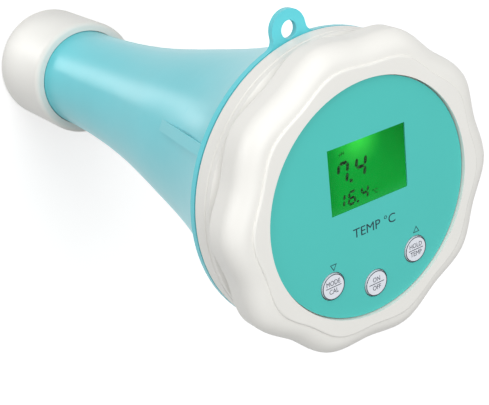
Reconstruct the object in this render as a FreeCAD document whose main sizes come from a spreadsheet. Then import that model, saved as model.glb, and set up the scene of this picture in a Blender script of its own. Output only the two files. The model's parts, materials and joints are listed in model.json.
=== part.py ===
import FreeCAD, Part
import math
import os
import re
import Sketcher

# Floating pool thermometer: a hollow horn-shaped float, hung by an eyelet, with a round display head
# locked on its wide mouth by a lobed screw ring, and the probes under a push-on cap at its narrow end.
# +Z runs up the float's axis towards the display, +Y is the display's twelve o'clock,
# and the origin is the centre of the tail cap's flat end. All sizes are in millimetres.

SIZES = {
    # overall
    "total_length": 228.0,
    "turn_gap": 0.3,
    "seat_gap": 0.05,
    # horn: outside radii at six evenly spaced stations, from the neck to the flange
    "neck_radius": 20.8,
    "horn_radius_one": 21.9,
    "horn_radius_two": 25.4,
    "horn_radius_three": 31.3,
    "horn_radius_four": 38.3,
    "horn_top_radius": 50.0,
    "horn_stop": 3.0,
    "shell_wall": 2.6,
    "neck_wall": 3.6,
    "neck_end": 20.0,
    "neck_step": 37.2,
    # flange and hanging eyelet
    "flange_radius": 52.0,
    "flange_thickness": 2.0,
    "eye_angle": 99.0,
    "eye_reach": 3.2,
    "eye_hole_radius": 3.0,
    "eye_band": 3.7,
    "eye_fillet": 3.5,
    # raised bars on the flanks
    "rib_angle": 152.0,
    "rib_width": 4.0,
    "rib_start": 152.0,
    # mouth and its screw thread
    "mouth_bore": 43.4,
    "mouth_wall": 3.2,
    "nose_gap": 0.4,
    "thread_pitch": 4.0,
    "thread_depth": 1.2,
    "thread_gap": 0.4,
    "thread_start": 3.7,
    "thread_crest": 1.0,
    "thread_root": 1.7,
    "mouth_turns": 1.75,
    "ring_turns": 1.5,
    "key_width": 4.0,
    "key_height": 1.2,
    "key_depth": 6.0,
    # lock ring
    "ring_depth": 24.85,
    "ring_opening": 41.0,
    "ring_lip": 2.8,
    "ring_radius": 53.5,
    "lobe_swing": 1.25,
    "lobe_count": 10.0,
    "lobe_angle": 33.0,
    "lobe_depth": 13.4,
    "front_round": 6.5,
    "land_radius": 46.2,
    "land_swing": 0.9,
    "land_rise": 0.7,
    "land_round": 0.6,
    "band_radius": 52.0,
    "band_groove": 0.5,
    "groove_place": 5.5,
    "groove_width": 0.9,
    "crease_depth": 1.4,
    "crease_width": 3.2,
    "rear_round": 0.9,
    # retaining ring
    "clip_thickness": 1.0,
    "clip_catch": 1.2,
    "clip_seat": 1.2,
    "clip_split": 8.0,
    # display housing
    "shoulder_radius": 46.4,
    "shoulder_thickness": 3.9,
    "panel_recess": 1.2,
    "panel_thickness": 0.6,
    "face_thickness": 2.8,
    "plug_gap": 0.3,
    "plug_wall": 3.8,
    "housing_end": 193.0,
    "seal_place": 207.0,
    "seal_width": 2.6,
    "seal_depth": 1.8,
    # window and display
    "window_wide": 32.0,
    "window_high": 22.6,
    "window_centre": 10.5,
    "window_thickness": 0.5,
    "glass_margin": 3.0,
    "glass_thickness": 2.2,
    "frame_wall": 1.8,
    "guide_thickness": 2.4,
    "strip_width": 2.0,
    "led_long": 3.2,
    "led_wide": 1.6,
    "led_pin_radius": 0.25,
    "led_pin_spacing": 1.6,
    # keys
    "key_ring_radius": 30.5,
    "key_spacing": 36.0,
    "key_radius": 4.6,
    "key_gap": 0.35,
    "key_proud": 0.45,
    "key_collar": 1.2,
    "key_travel": 0.35,
    "stem_radius": 1.9,
    "switch_side": 6.0,
    "switch_tall": 3.4,
    "plunger_proud": 0.6,
    "plunger_depth": 0.7,
    "collar_thickness": 0.8,
    "plunger_radius": 1.7,
    "plunger_gap": 0.15,
    # main board
    "board_radius": 36.0,
    "board_thickness": 1.6,
    "board_drop": 9.0,
    "boss_radius": 3.0,
    "boss_tall": 12.0,
    "screw_radius": 1.1,
    "screw_gap": 0.2,
    "screw_bite": 6.0,
    "screw_head_radius": 2.3,
    "screw_head_tall": 1.4,
    "upper_boss_x": 27.0,
    "upper_boss_y": 19.0,
    "lower_boss_x": 30.5,
    "lower_boss_y": 9.0,
    # chips and radio module under the board
    "chip_tall": 1.4,
    "processor_side": 10.0,
    "processor_x": 9.0,
    "processor_y": 22.0,
    "memory_side": 5.0,
    "memory_x": 2.0,
    "memory_y": 27.0,
    "driver_side": 6.0,
    "driver_x": 21.0,
    "driver_y": 19.0,
    "radio_wide": 13.0,
    "radio_long": 18.0,
    "radio_board": 0.8,
    "radio_x": 14.0,
    "radio_y": 21.0,
    "radio_margin": 1.0,
    "antenna_long": 4.0,
    # batteries
    "cell_radius": 7.1,
    "cell_length": 49.2,
    "nub_radius": 2.75,
    "nub_length": 1.3,
    "cell_pitch": 15.0,
    "bay_wall": 1.6,
    "bay_gap": 0.4,
    "spring_room": 4.6,
    "spring_leaf": 0.4,
    "spring_tall": 7.0,
    "plate_thickness": 0.4,
    "plate_wide": 9.9,
    "plate_tall": 10.6,
    "cover_thickness": 2.4,
    "cover_screw_ring": 36.2,
    "cover_boss_radius": 3.6,
    # sensor end
    "carrier_top": 36.0,
    "carrier_bottom": 22.0,
    "guard_end": 5.5,
    "guard_radius": 17.0,
    "guard_wall": 2.4,
    "guard_slot": 7.0,
    "guard_slots": 6.0,
    "electrode_radius": 4.5,
    "electrode_offset": 5.0,
    "probe_radius": 2.5,
    "probe_offset": 8.0,
    "junction_radius": 1.0,
    "junction_offset": 9.0,
    "carrier_seal_place": 28.0,
    "cap_seal_place": 29.0,
    "probe_seal_room": 1.7,
    "guard_flange": 2.0,
    "preamp_radius": 13.5,
    "preamp_lift": 0.6,
    "ballast_bottom": 41.0,
    "ballast_height": 14.0,
    "ballast_bore": 8.0,
    # cable
    "cable_radius": 2.4,
    "plug_long": 8.4,
    "plug_wide": 4.6,
    "plug_tall": 6.4,
    "socket_gap": 0.3,
    "socket_wall": 1.0,
    "socket_tall": 5.6,
    "cover_hole_radius": 5.8,
    "cable_shift": 29.0,
    "cable_bend_low": 100.0,
    "cable_bend_high": 158.0,
    # tail cap
    "cap_radius": 24.9,
    "cap_gap": 0.25,
    "cap_floor": 2.6,
    "cap_end_round": 3.5,
    "cap_rim_round": 2.0,
}

doc = FreeCAD.newDocument("FloatingThermometer")
sheet = doc.addObject("Spreadsheet::Sheet", "Sizes")
for row, (alias, number) in enumerate(SIZES.items(), start=1):
    sheet.set(f"A{row}", alias)
    sheet.set(f"B{row}", str(number))
    sheet.setAlias(f"B{row}", alias)
doc.recompute()

# Places that several pieces share, as expressions of the sizes.
LIP_UNDER = "(total_length - ring_lip)"
SHOULDER_TOP = "(total_length - ring_lip - turn_gap)"
SHOULDER_UNDER = f"({SHOULDER_TOP} - shoulder_thickness)"
CLIP_TOP = f"({SHOULDER_UNDER} - turn_gap)"
CLIP_UNDER = f"({CLIP_TOP} - clip_thickness)"
CLIP_BORE = "(shoulder_radius - clip_catch)"
MOUTH_TOP = f"({CLIP_UNDER} - turn_gap)"
MOUTH_RADIUS = "(mouth_bore + mouth_wall)"
RING_BORE = "(mouth_bore + mouth_wall + thread_depth + thread_gap)"
RING_REAR = "(total_length - ring_depth)"
LOBE_REAR = "(total_length - lobe_depth)"
FLANGE_TOP = f"({RING_REAR} - turn_gap)"
FLANGE_UNDER = f"({FLANGE_TOP} - flange_thickness)"
HORN_TOP = f"({FLANGE_TOP} - horn_stop)"
PLUG_RADIUS = "(mouth_bore - plug_gap)"
CUP_BORE = "(mouth_bore - plug_gap - plug_wall)"
PANEL_TOP = "(total_length - panel_recess)"
FACE_TOP = f"({PANEL_TOP} - panel_thickness)"
FACE_UNDER = f"({FACE_TOP} - face_thickness)"
PLATEAU_RADIUS = "(ring_opening - nose_gap)"
BOARD_TOP = f"({FACE_UNDER} - board_drop)"
BOARD_UNDER = f"({BOARD_TOP} - board_thickness)"
GLASS_UNDER = f"({FACE_TOP} - seat_gap - glass_thickness)"
GLASS_WIDE = "(window_wide + 2 * glass_margin)"
GLASS_HIGH = "(window_high + 2 * glass_margin)"
BAY_LENGTH = "(cell_length + nub_length + spring_room + 2 * plate_thickness + 2 * bay_gap)"
BAY_WIDE = "(cell_pitch + 2 * cell_radius + 2 * bay_gap)"
BAY_TOP = "(housing_end + 2 * cell_radius + 2 * bay_gap)"
CELL_HEIGHT = "(housing_end + cell_radius + bay_gap)"
COVER_UNDER = "(housing_end - cover_thickness)"
NECK_BORE = "(neck_radius - neck_wall)"
CAP_BORE = "(neck_radius + cap_gap)"


def bound(text):
    """The expression with every size name pointed at the sheet."""
    return re.sub(r"[a-z_]+", lambda word: f"Sizes.{word[0]}" if word[0] in SIZES else word[0], text)


def value(text):
    """The number that an expression of the sizes stands for now."""
    return float(sheet.evalExpression(text))


def bind(item, **expressions):
    """Tie an object's properties to expressions of the sizes."""
    for name, text in expressions.items():
        item.setExpression(name, bound(text))


def move(item, x="0", y="0", z="0"):
    """Tie an object's position to expressions of the sizes."""
    for axis, text in zip("xyz", (x, y, z)):
        if text != "0":
            item.setExpression(f".Placement.Base.{axis}", bound(text))
    return item


# --- sketches and PartDesign features -------------------------------------------------------------


def make_body(label):
    """An empty PartDesign body."""
    return doc.addObject("PartDesign::Body", label)


def make_sketch(body, role, height="0"):
    """A sketch on one of the body's own origin planes, lifted by height."""
    sketch = body.newObject("Sketcher::SketchObject", f"{body.Name}_sketch")
    plane = next(item for item in body.Origin.OriginFeatures if item.Role == role)
    sketch.AttachmentSupport = [(plane, "")]
    sketch.MapMode = "FlatFace"
    if height != "0":
        sketch.setExpression(".AttachmentOffset.Base.z", bound(height))
    return sketch


def pin_point(sketch, curve, end, x, y):
    """Hold one point of the sketch at (x, y), both expressions of the sizes."""
    for kind, axis, text in (("DistanceX", -2, x), ("DistanceY", -1, y)):
        number = value(text)
        if abs(number) < 1e-9:
            sketch.addConstraint(Sketcher.Constraint("PointOnObject", curve, end, axis))
            continue
        index = sketch.addConstraint(Sketcher.Constraint(kind, -1, 1, curve, end, number))
        sketch.setExpression(f"Constraints[{index}]", bound(text))


def draw_outline(sketch, corners):
    """A closed outline of straight lines through corners given as expressions."""
    first = sketch.GeometryCount
    points = [FreeCAD.Vector(value(x), value(y), 0) for x, y in corners]
    lines = [Part.LineSegment(a, b) for a, b in zip(points, points[1:] + points[:1])]
    sketch.addGeometry(lines, False)
    last = len(lines) - 1
    joins = [(first + n, first + n + 1) for n in range(last)] + [(first + last, first)]
    sketch.addConstraint([Sketcher.Constraint("Coincident", a, 2, b, 1) for a, b in joins])
    for number, (x, y) in enumerate(corners):
        pin_point(sketch, first + number, 1, x, y)


def draw_rectangle(sketch, wide, high, x="0", y="0"):
    """A rectangle of the given width and height about (x, y)."""
    left, right = f"{x} - ({wide}) / 2", f"{x} + ({wide}) / 2"
    low, top = f"{y} - ({high}) / 2", f"{y} + ({high}) / 2"
    draw_outline(sketch, [(left, low), (right, low), (right, top), (left, top)])


def draw_circle(sketch, radius, x="0", y="0"):
    """A circle about (x, y)."""
    curve = sketch.GeometryCount
    centre = FreeCAD.Vector(value(x), value(y), 0)
    sketch.addGeometry(Part.Circle(centre, FreeCAD.Vector(0, 0, 1), value(radius)), False)
    if abs(centre.x) < 1e-9 and abs(centre.y) < 1e-9:
        sketch.addConstraint(Sketcher.Constraint("Coincident", curve, 3, -1, 1))
    else:
        pin_point(sketch, curve, 3, x, y)
    index = sketch.addConstraint(Sketcher.Constraint("Radius", curve, value(radius)))
    sketch.setExpression(f"Constraints[{index}]", bound(radius))


def revolve(body, corners, cut=False):
    """Turn an outline of (radius, height) corners about Z, as material or as a groove."""
    sketch = make_sketch(body, "XZ_Plane")
    draw_outline(sketch, corners)
    kind = "Groove" if cut else "Revolution"
    feature = body.newObject(f"PartDesign::{kind}", f"{body.Name}_{kind.lower()}")
    feature.Profile = sketch
    feature.ReferenceAxis = (sketch, ["V_Axis"])
    feature.Angle = 360
    return settle(body, feature, cut)


def extrude(body, sketch, length, cut=False, down=False):
    """Pad or pocket a sketch that lies flat, up from its plane or down from it."""
    kind = "Pocket" if cut else "Pad"
    feature = body.newObject(f"PartDesign::{kind}", f"{body.Name}_{kind.lower()}")
    feature.Profile = sketch
    feature.setExpression("Length", bound(length))
    # a pad grows along the sketch's normal and a pocket cuts against it, unless reversed
    feature.Reversed = down != cut
    return settle(body, feature, cut)


def repeat_round(body, feature, count, cut=False):
    """Repeat a feature evenly around Z."""
    pattern = body.newObject("PartDesign::PolarPattern", f"{body.Name}_pattern")
    pattern.Originals = [feature]
    pattern.Axis = (feature.Profile[0], ["N_Axis"])
    pattern.Angle = 360
    pattern.setExpression("Occurrences", bound(count))
    body.Tip = pattern
    return settle(body, pattern, cut, feature)


def settle(body, feature, cut, previous=None):
    """Recompute, and stop unless the feature really added or removed material."""
    previous = previous or feature.BaseFeature
    doc.recompute()
    change = feature.Shape.Volume - (previous.Shape.Volume if previous else 0.0)
    if change * (-1 if cut else 1) <= 1e-6:
        raise RuntimeError(f"{feature.Name} in {body.Label} changed the volume by {change}")
    return feature


def edges_where(feature, test):
    """Names of the feature's edges whose middle point passes the test."""
    names = []
    for number, edge in enumerate(feature.Shape.Edges, start=1):
        middle = edge.valueAt((edge.FirstParameter + edge.LastParameter) / 2)
        if test(math.hypot(middle.x, middle.y), middle.z, middle):
            names.append(f"Edge{number}")
    return names


def round_edges(body, feature, test, radius, kind="Fillet"):
    """Fillet, or chamfer, the edges that pass the test."""
    dressing = body.newObject(f"PartDesign::{kind}", f"{body.Name}_{kind.lower()}")
    dressing.Base = (feature, edges_where(feature, test))
    dressing.setExpression("Radius" if kind == "Fillet" else "Size", bound(radius))
    doc.recompute()
    return dressing


def near(first, second):
    """True where two lengths are the same but for rounding."""
    return abs(first - second) < 0.01


# --- Part primitives ------------------------------------------------------------------------------


def add_cylinder(name, radius, height, x="0", y="0", z="0"):
    """A cylinder standing on (x, y, z)."""
    item = doc.addObject("Part::Cylinder", name)
    bind(item, Radius=radius, Height=height)
    return move(item, x, y, z)


def add_box(name, long, wide, tall, x="0", y="0", z="0"):
    """A box centred on (x, y) with its underside at z."""
    item = doc.addObject("Part::Box", name)
    bind(item, Length=long, Width=wide, Height=tall)
    return move(item, f"{x} - ({long}) / 2", f"{y} - ({wide}) / 2", z)


def add_seal(name, inner, outer, z):
    """An O-ring that fills a groove from its floor to the bore, short of both by the seat gap."""
    item = doc.addObject("Part::Torus", name)
    bind(item, Radius1=f"(({inner}) + ({outer})) / 2", Radius2=f"(({outer}) - ({inner})) / 2 - seat_gap")
    return move(item, z=z)


def join(name, items):
    """Fuse several shapes into one solid."""
    item = doc.addObject("Part::MultiFuse", name)
    item.Shapes = items
    return item


def subtract(name, base, tools):
    """Cut one or more shapes out of a base."""
    tool = tools[0] if len(tools) == 1 else join(f"{name}_tools", tools)
    item = doc.addObject("Part::Cut", name)
    item.Base = base
    item.Tool = tool
    return item


def group(name, items):
    """Separate solids that share one node."""
    item = doc.addObject("Part::Compound", name)
    item.Links = items
    return item


def add_feature(name, shape):
    """A piece whose shape is made in code from the sheet's sizes."""
    item = doc.addObject("Part::Feature", name)
    item.Shape = shape
    return item


# --- shapes made in code --------------------------------------------------------------------------


def turn(profile_edges):
    """The solid made by turning a closed profile in the XZ plane about Z."""
    face = Part.Face(Part.Wire(profile_edges))
    return face.revolve(FreeCAD.Vector(0, 0, 0), FreeCAD.Vector(0, 0, 1), 360)


def turned_steps(corners):
    """A turned solid from (radius, height) corners joined by straight lines."""
    points = [FreeCAD.Vector(value(r), 0, value(z)) for r, z in corners]
    return turn([Part.LineSegment(a, b).toShape() for a, b in zip(points, points[1:] + points[:1])])


def tube(outer, inner, low, top):
    """A plain ring between two radii and two heights."""
    return turned_steps([(inner, low), (outer, low), (outer, top), (inner, top)])


def thread_ridge(radius, outward, start, turns):
    """A helical ridge on a cylinder, tapered from its root to its crest, sunk a little in the wall."""
    pitch = value("thread_pitch")
    sink = value("thread_gap")
    reach = value("thread_depth") if outward else -value("thread_depth")
    root = radius - math.copysign(sink, reach)
    crest = radius + reach
    half_root = value("thread_root") / 2
    half_crest = value("thread_crest") / 2
    corners = [
        FreeCAD.Vector(root, 0, -half_root),
        FreeCAD.Vector(crest, 0, -half_crest),
        FreeCAD.Vector(crest, 0, half_crest),
        FreeCAD.Vector(root, 0, half_root),
    ]
    profile = Part.makePolygon(corners + corners[:1])
    helix = Part.makeHelix(pitch, pitch * turns, radius)
    ridge = Part.Wire(helix.Edges).makePipeShell([profile], True, True)
    ridge.translate(FreeCAD.Vector(0, 0, start))
    return ridge


def horn_curve(inset):
    """The horn's outline, moved inwards by inset, as a smooth curve up through its six stations."""
    radii = ["neck_radius", "horn_radius_one", "horn_radius_two", "horn_radius_three", "horn_radius_four"]
    radii.append("horn_top_radius")
    low, high = value("neck_step"), value(HORN_TOP)
    step = (high - low) / (len(radii) - 1)
    points = [FreeCAD.Vector(value(r) - inset, 0, low + n * step) for n, r in enumerate(radii)]
    curve = Part.BSplineCurve()
    curve.interpolate(points)
    return curve


def line(start, end):
    """A straight edge in the XZ plane between (radius, height) points."""
    ends = [FreeCAD.Vector(radius, 0, height) for radius, height in (start, end)]
    return Part.LineSegment(*ends).toShape()


def polyline(points):
    """Straight edges through (radius, height) points."""
    return [line(a, b) for a, b in zip(points, points[1:])]


def horn_blank(inset, low_points, high_points):
    """A solid turned from the horn's curve, upright above it, closed by points below it and above it."""
    curve = horn_curve(inset).toShape()
    foot = curve.Vertexes[0].Point
    head = curve.Vertexes[-1].Point
    edges = polyline(low_points + [(foot.x, foot.z)])
    edges.append(curve)
    edges += polyline([(head.x, head.z), (head.x, high_points[0][1])] + high_points + [low_points[0]])
    return turn(edges)


def eyelet_shape():
    """A flat tab on the flange with a hole for a tether, flared where it leaves the flange."""
    rim = value("flange_radius")
    reach = rim + value("eye_reach")
    outer = value("eye_hole_radius") + value("eye_band")
    thick = value("flange_thickness")
    axis = FreeCAD.Vector(0, 0, 1)
    tab = Part.makeCylinder(outer, thick, FreeCAD.Vector(reach, 0, 0), axis)
    root = rim / 2
    tab = tab.fuse(Part.makeBox(reach - root, 2 * outer, thick, FreeCAD.Vector(root, -outer, 0)))
    tab = tab.fuse(Part.makeCylinder(rim, thick)).removeSplitter()
    corners = []
    for edge in tab.Edges:
        middle = edge.valueAt((edge.FirstParameter + edge.LastParameter) / 2)
        upright = near(edge.BoundBox.ZLength, thick)
        if upright and near(abs(middle.y), outer) and near(math.hypot(middle.x, middle.y), rim):
            corners.append(edge)
    tab = tab.makeFillet(value("eye_fillet"), corners)
    hole = Part.makeCylinder(value("eye_hole_radius"), thick, FreeCAD.Vector(reach, 0, 0), axis)
    tab = tab.cut(hole).cut(Part.makeCylinder(value("mouth_bore"), thick))
    tab.rotate(FreeCAD.Vector(0, 0, 0), axis, value("eye_angle"))
    tab.translate(FreeCAD.Vector(0, 0, value(FLANGE_UNDER)))
    return tab


def rib_shape():
    """Two opposite bars whose outer edge is a straight chord across the horn's hollow flank."""
    high = value(HORN_TOP)
    low = value("rib_start")
    curve = horn_curve(0)

    def radius_at(height):
        return curve.intersectCC(Part.Line(FreeCAD.Vector(0, 0, height), FreeCAD.Vector(1, 0, height)))[0].X

    inside = value("shell_wall") / 2
    corners = [(radius_at(low) - inside, low), (radius_at(low), low), (value("horn_top_radius"), high)]
    corners.append((value("horn_top_radius") - inside, high))
    face = Part.Face(Part.Wire(polyline(corners + corners[:1])))
    width = value("rib_width")
    bar = face.extrude(FreeCAD.Vector(0, width, 0))
    bar.translate(FreeCAD.Vector(0, -width / 2, 0))
    hollow = horn_blank(inside, [(0, low), (1, low)], [(0, value(FLANGE_UNDER))])
    bar = bar.cut(hollow)
    bars = []
    for half_turn in (0, 180):
        copy = bar.copy()
        copy.rotate(FreeCAD.Vector(0, 0, 0), FreeCAD.Vector(0, 0, 1), value("rib_angle") + half_turn)
        bars.append(copy)
    return bars


def key_bars(radius, width, low, top):
    """Two opposite bars along X, out to a radius, which key the display head against turning."""
    bars = []
    for side in (1, -1):
        x = min(0, side * radius)
        bars.append(Part.makeBox(radius, width, top - low, FreeCAD.Vector(x, -width / 2, low)))
    return bars


# --- float body -----------------------------------------------------------------------------------


def float_shell_shape():
    """The hollow horn with its flange, eyelet, flank bars, threaded mouth and sealed neck."""
    neck_end = value("neck_end")
    neck_step = value("neck_step")
    neck_bore = value(NECK_BORE)
    flange_under = value(FLANGE_UNDER)
    mouth_bore = value("mouth_bore")
    mouth_top = value(MOUTH_TOP)
    nose_top = value(CLIP_TOP)
    shell = horn_blank(0, [(0, neck_end), (value("neck_radius"), neck_end)], [(0, flange_under)])
    shell = shell.fuse(rib_shape())
    hollow_foot = [(0, neck_end - 1), (neck_bore, neck_end - 1), (neck_bore, neck_step)]
    shell = shell.cut(horn_blank(value("shell_wall"), hollow_foot, [(0, flange_under)]))
    mouth = tube(MOUTH_RADIUS, "mouth_bore", FLANGE_UNDER, MOUTH_TOP)
    nose = tube(f"{CLIP_BORE} - nose_gap", "mouth_bore", FLANGE_UNDER, CLIP_TOP)
    thread_low = value(f"{FLANGE_TOP} + thread_start")
    ridge = thread_ridge(value(MOUTH_RADIUS), True, thread_low, value("mouth_turns"))
    shell = shell.fuse([eyelet_shape(), mouth, nose, ridge])
    slot_width = value("key_width + 2 * turn_gap")
    slot_low = value(f"{SHOULDER_UNDER} - key_depth - turn_gap")
    slots = key_bars(value("mouth_bore + key_height + turn_gap"), slot_width, slot_low, nose_top + 1)
    seal_low = "cap_seal_place"
    groove = tube("neck_radius + 1", "neck_radius - seal_depth", seal_low, f"{seal_low} + seal_width")
    core = Part.makeCylinder(mouth_bore / 2, mouth_top)
    shell = shell.cut([groove] + [slot.cut(core) for slot in slots])
    return shell.removeSplitter()


def carrier_hole_places():
    """Places of the three probes across the carrier, with the radius of each."""
    return [
        ("-electrode_offset", "0", "electrode_radius"),
        ("probe_offset", "0", "probe_radius"),
        ("0", "junction_offset", "junction_radius"),
    ]


def make_sensor_carrier():
    """The plug in the neck that holds the probes."""
    body = make_body("sensor_carrier")
    rim = f"{NECK_BORE} - seat_gap"
    floor = f"{NECK_BORE} - seat_gap - seal_depth"
    seal_top = "carrier_seal_place + seal_width"
    corners = [("0", "carrier_bottom"), (rim, "carrier_bottom"), (rim, "carrier_seal_place")]
    corners += [(floor, "carrier_seal_place"), (floor, seal_top), (rim, seal_top)]
    revolve(body, corners + [(rim, "carrier_top"), ("0", "carrier_top")])
    sketch = make_sketch(body, "XY_Plane", "carrier_bottom")
    for x, y, radius in carrier_hole_places():
        draw_circle(sketch, f"{radius} + seat_gap", x, y)
    extrude(body, sketch, "carrier_top - carrier_bottom", cut=True)
    sketch = make_sketch(body, "XY_Plane", "carrier_bottom")
    for x, y, radius in carrier_hole_places()[:2]:
        draw_circle(sketch, f"{radius} + probe_seal_room", x, y)
    extrude(body, sketch, "probe_seal_room", cut=True)
    return body


def make_probe_guard():
    """The slotted tube that shields the probes and closes the carrier in."""
    body = make_body("probe_guard")
    bore = "guard_radius - guard_wall"
    flange_low = "neck_end - guard_flange"
    spigot = f"{NECK_BORE} - seat_gap"
    corners = [(bore, "guard_end"), ("guard_radius", "guard_end"), ("guard_radius", flange_low)]
    corners += [("neck_radius", flange_low), ("neck_radius", "neck_end"), (spigot, "neck_end")]
    revolve(body, corners + [(spigot, "carrier_bottom - seat_gap"), (bore, "carrier_bottom - seat_gap")])
    sketch = make_sketch(body, "XY_Plane", "guard_end + guard_wall")
    draw_rectangle(sketch, "4 * guard_wall", "guard_slot", "guard_radius - guard_wall / 2")
    slot = extrude(body, sketch, f"{flange_low} - guard_end - 2 * guard_wall", cut=True)
    repeat_round(body, slot, "guard_slots", cut=True)
    return body


def make_probe(label, radius, x, low, top):
    """A round-ended rod that hangs from the carrier."""
    tip = doc.addObject("Part::Sphere", f"{label}_tip")
    bind(tip, Radius=radius)
    middle = f"({low} + {radius})"
    move(tip, x=x, z=middle)
    stem = add_cylinder(f"{label}_stem", radius, f"{top} - {middle}", x=x, z=middle)
    return join(label, [tip, stem])


def make_sensor_parts():
    """Everything that is fixed in the neck of the float."""
    make_sensor_carrier()
    make_probe_guard()
    make_probe("ph_electrode", "electrode_radius", "-electrode_offset", "guard_end + 2", "carrier_top")
    make_probe("temperature_probe", "probe_radius", "probe_offset", "guard_end + 2", "carrier_top")
    add_cylinder(
        "reference_junction",
        "junction_radius",
        "carrier_top - carrier_bottom + seat_gap",
        y="junction_offset",
        z="carrier_bottom - seat_gap",
    )
    seals = []
    for number, (x, _, radius) in enumerate(carrier_hole_places()[:2]):
        seal = add_seal(f"probe_seal_{number}", radius, f"{radius} + probe_seal_room", "carrier_bottom")
        seals.append(move(seal, x=x, z="carrier_bottom + probe_seal_room / 2"))
    group("probe_seals", seals)
    add_seal(
        "carrier_seal",
        f"{NECK_BORE} - seat_gap - seal_depth",
        NECK_BORE,
        "carrier_seal_place + seal_width / 2",
    )
    add_seal("cap_seal", "neck_radius - seal_depth", CAP_BORE, "cap_seal_place + seal_width / 2")
    body = make_body("preamp_board")
    sketch = make_sketch(body, "XY_Plane", "carrier_top + preamp_lift")
    draw_circle(sketch, "preamp_radius")
    extrude(body, sketch, "board_thickness")
    body = make_body("ballast_ring")
    outer = "neck_radius - shell_wall - screw_gap"
    top = "ballast_bottom + ballast_height"
    corners = [("ballast_bore", "ballast_bottom"), (outer, "ballast_bottom"), (outer, top)]
    revolve(body, corners + [("ballast_bore", top)])


def cable_shape():
    """The sensor cable: straight runs joined by tangent arcs, from the preamp board to its plug."""
    shift = value("cable_shift")
    heights = ["carrier_top + preamp_lift + board_thickness", "cable_bend_low", "cable_bend_high", PLUG_UNDER]
    route = [FreeCAD.Vector(0, y, value(z)) for y, z in zip((0, 0, shift, shift), heights)]
    radius = value("cable_radius")
    edges = []
    start = route[0]
    for before, corner, after in zip(route, route[1:], route[2:]):
        shorter = min((corner - before).Length, (after - corner).Length)
        reach = 0.45 * shorter
        inward = (before - corner).normalize()
        onward = (after - corner).normalize()
        half_turn = (math.pi - inward.getAngle(onward)) / 2
        print(f"sensor_cable bend radius {reach / math.tan(half_turn):.1f}")
        arc_start = corner + inward * reach
        arc_end = corner + onward * reach
        bisector = (inward + onward).normalize()
        bend = reach / math.tan(half_turn)
        centre = corner + bisector * (bend / math.cos(half_turn))
        middle = centre - bisector * bend
        edges.append(Part.LineSegment(start, arc_start).toShape())
        edges.append(Part.Arc(arc_start, middle, arc_end).toShape())
        start = arc_end
    edges.append(Part.LineSegment(start, route[-1]).toShape())
    spine = Part.Wire(edges)
    section = Part.Wire(Part.makeCircle(radius, route[0], FreeCAD.Vector(0, 0, 1)))
    cable = spine.makePipeShell([section], True, False)
    plain_volume = spine.Length * math.pi * radius**2
    print(f"sensor_cable length {spine.Length:.1f}, volume ratio {cable.Volume / plain_volume:.4f}")
    return cable


# --- lock ring ------------------------------------------------------------------------------------


def lobed_slab(mean, swing, low, top, round_top):
    """A flat slab with soft round lobes and a rounded top edge."""
    count = round(value("lobe_count"))
    phase = math.radians(value("lobe_angle"))
    points = []
    for step in range(4 * count):
        angle = phase + step * math.tau / (4 * count)
        radius = mean + swing * math.cos(count * (angle - phase))
        points.append(FreeCAD.Vector(radius * math.cos(angle), radius * math.sin(angle), low))
    curve = Part.BSplineCurve()
    curve.interpolate(points, PeriodicFlag=True)
    slab = Part.Face(Part.Wire(curve.toShape())).extrude(FreeCAD.Vector(0, 0, top - low))
    return slab.makeFillet(round_top, [edge for edge in slab.Edges if near(edge.BoundBox.ZMin, top)])


def lobed_band_shape():
    """The ring's front band, with a well-rounded front edge and a raised land round the opening."""
    low = value(LOBE_REAR)
    top = value("total_length")
    ledge = top - value("land_rise")
    band = lobed_slab(value("ring_radius"), value("lobe_swing"), low, ledge, value("front_round"))
    band = band.makeFillet(value("rear_round"), [edge for edge in band.Edges if near(edge.BoundBox.ZMax, low)])
    return band.fuse(lobed_slab(value("land_radius"), value("land_swing"), low, top, value("land_round")))


def lock_ring_shape():
    """The lobed screw ring: front lip, bore with its thread, clip groove and creased rear band."""
    groove_low = f"{RING_REAR} + groove_place"
    neck = "band_radius - crease_depth"
    band_top = f"{LOBE_REAR} + rear_round"
    rim = "band_radius"
    floor = "band_radius - band_groove"
    corners = [("1", RING_REAR), (floor, RING_REAR), (rim, f"{RING_REAR} + band_groove"), (rim, groove_low)]
    corners += [(floor, f"{groove_low} + groove_width / 2"), (rim, f"{groove_low} + groove_width")]
    corners += [(rim, f"{LOBE_REAR} - crease_width"), (neck, f"{LOBE_REAR} - crease_width / 2")]
    band = turned_steps(corners + [(neck, band_top), ("1", band_top)])
    ring = band.fuse(lobed_band_shape())
    bore = tube(RING_BORE, "0", f"{RING_REAR} - 1", LIP_UNDER)
    opening = tube("ring_opening", "0", f"{LIP_UNDER} - 1", "total_length + 1")
    seat = f"{RING_BORE} + clip_seat"
    clip_groove = tube(seat, "1", f"{CLIP_UNDER} - seat_gap", f"{CLIP_TOP} + seat_gap")
    ring = ring.cut([bore, opening, clip_groove])
    start = value(f"{FLANGE_TOP} + thread_start - thread_pitch / 2")
    ridge = thread_ridge(value(RING_BORE), False, start, value("ring_turns"))
    return ring.fuse(ridge).removeSplitter()


def retaining_ring_shape():
    """The split ring that sits in the lock ring and catches under the display head's shoulder."""
    clip = tube(f"{RING_BORE} + clip_seat - seat_gap", CLIP_BORE, CLIP_UNDER, CLIP_TOP)
    split = value("clip_split")
    corner = FreeCAD.Vector(-split / 2, -2 * value("ring_radius"), value(CLIP_UNDER) - 1)
    return clip.cut(Part.makeBox(split, 2 * value("ring_radius"), value("clip_thickness") + 2, corner))


# --- display head ---------------------------------------------------------------------------------

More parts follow.
